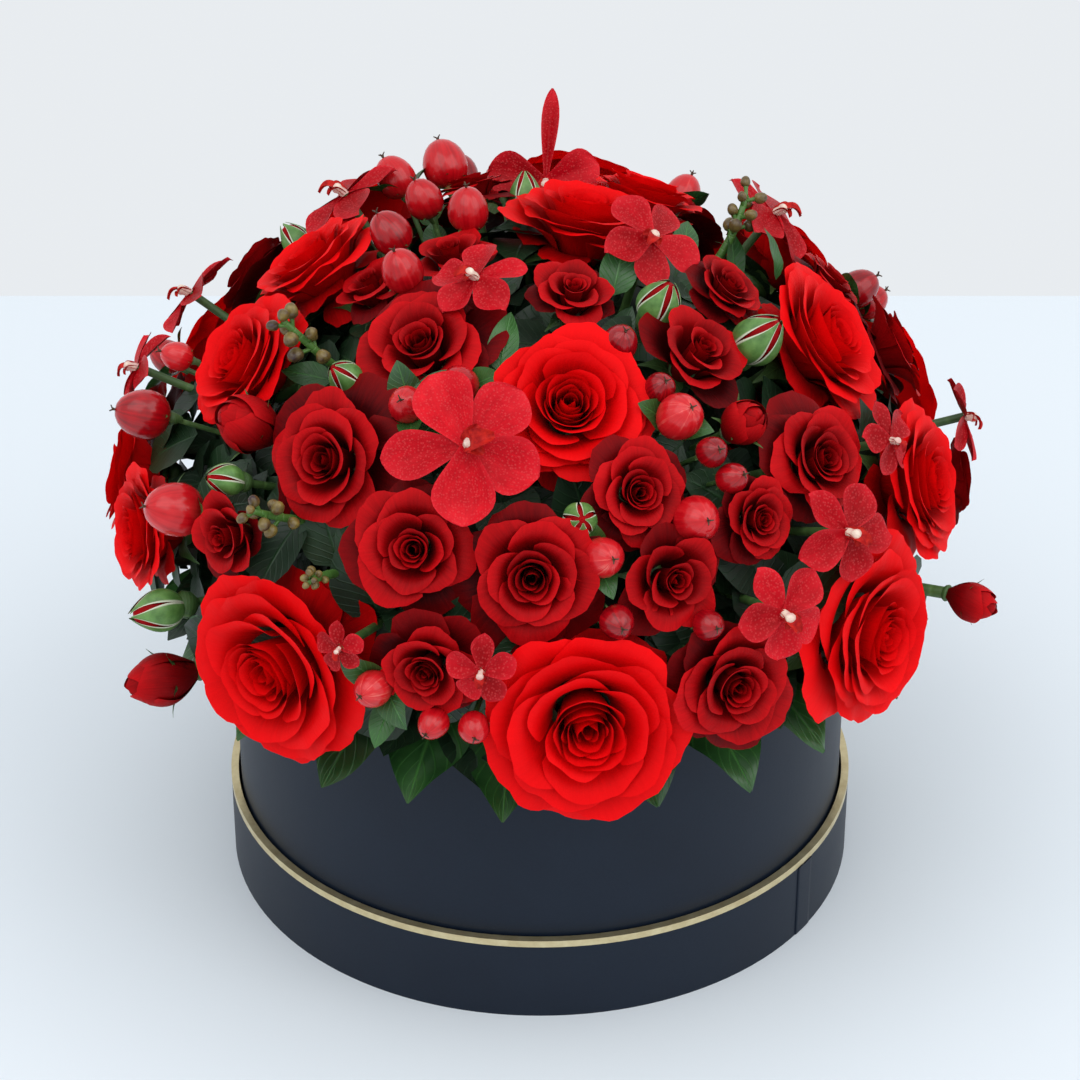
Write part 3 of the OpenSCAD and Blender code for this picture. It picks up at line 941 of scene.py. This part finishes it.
def leaf_collar(node):
    """The broad leaves over the rim, each a curved blade in its CAD leaf's place."""
    slope = math.tan(math.radians(24))
    root_r = 0.086
    leaves = Shape()
    for i, p in enumerate(solids_of(node)):
        rg = np.random.default_rng(hash_of(node) + 7 * i)
        rad = np.hypot(p[:, 0], p[:, 1])
        tip = p[rad > rad.max() - 0.0008].mean(0)
        az = math.atan2(tip[1], tip[0])
        root_z = tip[2] + (rad.max() - root_r) * slope + 0.0015
        base = np.array((math.cos(az) * root_r, math.sin(az) * root_r, root_z))
        length = (rad.max() - 0.084) / math.cos(math.radians(24))
        out = np.array((math.cos(az), math.sin(az), -math.tan(math.radians(19))))
        up = np.array((math.cos(az) * 0.3, math.sin(az) * 0.3, 1.0))
        leaf(leaves, base, out, up, length, 0.0165, 15, rg, fold=0.12, nu=10, nv=22, wave=0.10)
        line = [base - out * 0.024 + (0, 0, 0.002), base - out * 0.01, base + out * 0.004]
        tube(leaves, line, [0.0014, 0.0013, 0.001], 1, 8)
    o = leaves.build(node + "_blades", [LEAF, STEM])
    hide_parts(node)


def heads_seen():
    """Directions of the flower heads from the heart, and the half angle that each takes up."""
    axes, half = [], []
    for n in names:
        if n.startswith(("garden_rose", "spray_rose", "rosebuds", "berries")):
            for b in blooms_of(n):
                axes.append(b["axis"])
                half.append(math.asin(min(0.9, b["r"] / HEAD_SHARE / b["face"])))
        elif n.startswith("orchid") and n != "orchid_tips":
            for p in solids_of(n):
                mid, _, r = orchid_of(p)
                far = np.linalg.norm(mid - HEART)
                axes.append((mid - HEART) / far)
                half.append(0.95 * r / far)
    return np.array(axes), np.array(half)


def foliage():
    """Leaves on the flower stems, deep between the heads and up in the gaps."""
    axes, half = heads_seen()
    deep, high = Shape(), Shape()
    total = 2400
    for i in range(total):
        rg = np.random.default_rng(900 + i)
        z = -0.04 + 1.02 * (i + 0.5) / total
        a = i * GOLDEN
        flat = math.sqrt(max(0, 1 - z * z))
        d = np.array((flat * math.cos(a), flat * math.sin(a), z))
        gap = np.min(np.arccos(np.clip(axes @ d, -1, 1)) - half)
        el = math.asin(z)
        far = 1 / math.sqrt((math.cos(el) / DOME_R) ** 2 + (math.sin(el) / DOME_RISE) ** 2)
        f = local_frame(d, rg.uniform(0, TAU))
        if i % 2 == 0:
            share = rg.uniform(0.50, 0.68) + 0.14 * (i % 4 == 0) + 0.06 * (z < 0.45)
            at = HEART + d * far * share
            tilt = rg.uniform(-0.2, 0.7)
            out, up = f[:, 0] + d * tilt, d - f[:, 0] * tilt
            length, width = rg.uniform(0.022, 0.034), rg.uniform(0.009, 0.013)
            leaf(deep, at, out, up, length, width, 30, rg, nu=4, nv=7)
            if z < 0.22:
                d = np.array((math.cos(a), math.sin(a), rg.uniform(-0.12, 0.30)))
                side = np.array((-math.sin(a), math.cos(a), 0)) * rg.uniform(-0.6, 0.6)
                at = HEART + d * rg.uniform(0.088, 0.108)
                length, width = rg.uniform(0.026, 0.036), rg.uniform(0.010, 0.014)
                droop = rg.uniform(10, 50)
                leaf(deep, at, d + side, (0, 0, 1.0), length, width, droop, rg, nu=4, nv=8)
        elif gap > math.radians(0.6 if z > 0.7 else 1.2) and i % 10 < (4 if z > 0.7 else 2):
            at = HEART + d * far * rg.uniform(0.80, 0.92)
            tilt = rg.uniform(0.35, 1.3)
            out, up = f[:, 0] + d * tilt, d - f[:, 0] * tilt
            length = rg.uniform(0.014, 0.022)
            leaf(high, at, out, up, length, length * rg.uniform(0.24, 0.34), 25, rg, nu=6, nv=9)
    deep.build("foliage_inner", [DEEP_LEAF])
    high.build("foliage_outer", [LEAF])


# --- Box and lid ----------------------------------------------------------------


def paint(node, material):
    """Gives a CAD node that stays in view its material."""
    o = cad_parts[node]
    if not o.material_slots:
        o.data.materials.append(material)
    for s in o.material_slots:
        s.material = material


def black_paper_material():
    m, t, b = principled("black_paper_satin")
    co = object_coords(t)
    fibre = noise(t, co, 900, 4, 0.7)
    cloud = noise(t, co, 22, 3)
    tone = add(t, mul(t, fibre, 0.35), mul(t, cloud, 0.65))
    blacks = [(0.3, (0.005, 0.010, 0.021)), (0.7, (0.008, 0.015, 0.029))]
    link(t, ramp(t, tone, blacks), b.inputs["Base Color"])
    rough = add(t, 0.40, mul(t, cloud, 0.12))
    link(t, rough, b.inputs["Roughness"])
    b.inputs["Specular IOR Level"].default_value = 0.22
    bump(t, b, fibre, 0.12, 0.0003)
    return m


def gold_material():
    m, t, b = principled("gold_foil")
    crinkle = noise(t, object_coords(t), 160, 4, 0.6)
    golds = [(0.3, (0.62, 0.50, 0.27)), (0.7, (0.80, 0.69, 0.42))]
    link(t, ramp(t, crinkle, golds), b.inputs["Base Color"])
    b.inputs["Metallic"].default_value = 0.85
    b.inputs["Roughness"].default_value = 0.34
    bump(t, b, crinkle, 0.4, 0.0006)
    return m


BLACK = black_paper_material()
GOLD = gold_material()
BOARD = simple_material("grey_board", (0.24, 0.235, 0.22), (0.34, 0.33, 0.31), 700, 0.9)
FOAM = simple_material(
    "floral_foam_pores", (0.008, 0.05, 0.022), (0.03, 0.13, 0.06), 1300, 0.95, 0.8, 0.001
)
FILM = simple_material(
    "liner_film", (0.42, 0.44, 0.44), (0.50, 0.52, 0.52), 90, 0.22, 0.5, 0.001
)

for n in ("lid_wall", "lid_top", "box_wall", "box_base"):
    paint(n, BOARD)
for n in ("lid_cover_paper", "box_cover_paper"):
    paint(n, BLACK)
paint("lid_gold_band", GOLD)
paint("liner", FILM)
for n in ("foam_brick_left", "foam_brick_right", "foam_cap"):
    paint(n, FOAM)


def lid_seam():
    """The end of the lid's cover paper, lapped over its start."""
    seam = Shape()
    inset, proud = 0.0002, 0.0003
    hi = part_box("lid_cover_paper")[1].z - inset
    a0, a1 = math.radians(-90 + 53), math.radians(-90 + 57.5)
    ang = np.concatenate([[a0, a0], np.linspace(a0, a1, 9), [a1]])[None, :]
    lift = np.concatenate([[-inset, 0.0001], np.full(9, proud), [-inset]])[None, :]
    z = np.linspace(inset, hi, 6)[:, None]
    R = LID_R + lift + 0 * z
    pts = np.stack([R * np.cos(ang), R * np.sin(ang), z + 0 * ang], -1)
    seam.grid(pts, t=0.5, rand=0.5)
    o = seam.build("lid_paper_seam", [BLACK], body="lid")


lid_seam()

# --- Making the pieces ------------------------------------------------------

CLOSED = ("spray_rose_13", "spray_rose_14", "spray_rose_16")
HALF_OPEN = (
    "spray_rose_11", "spray_rose_9", "spray_rose_15", "spray_rose_7", "spray_rose_19",
    "spray_rose_20",
)
SMALLEST_OPEN_R = 0.0095


def spray_roses(node):
    """Spray roses, some half open or closed, and the smallest at the back closed too."""
    kind = "bud" if node in CLOSED else "cup" if node in HALF_OPEN else "spray"

    def style_for(bloom):
        small = bloom["r"] < SMALLEST_OPEN_R and node == "spray_roses_back"
        return "bud" if small else kind

    make_roses(node, style_for, SPRAY)


def orchids(node):
    petals, centre, greens = Shape(), Shape(), Shape()
    dorsal = (1.7, 0.15) if node == "orchid_3" else (1.05, 0.30)
    for i, pts in enumerate(solids_of(node)):
        rg = np.random.default_rng(hash_of(node) + i)
        roll = math.radians(ORCHID_ROLL.get(node, 0) if i == 0 else rg.uniform(-60, 60))
        orchid(petals, centre, greens, pts, rg, roll, dorsal)
    o = petals.build(node + "_petals", [ORCHID])
    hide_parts(node)
    centre.build(node + "_column", [LIP, COLUMN])
    greens.build(node + "_stem", [STEM])


names = sorted(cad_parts)
for n in names:
    if n.startswith("garden_rose"):
        make_roses(n, lambda bloom: "garden", GARDEN)
    elif n.startswith("spray_rose"):
        spray_roses(n)
    elif n.startswith("berries"):
        berries(n)
    elif n == "rosebuds":
        green_buds(n)
    elif n == "orchid_tips":
        orchid_spikes(n)
    elif n == "leaf_collar":
        leaf_collar(n)
    elif n.startswith("orchid"):
        orchids(n)
foliage()
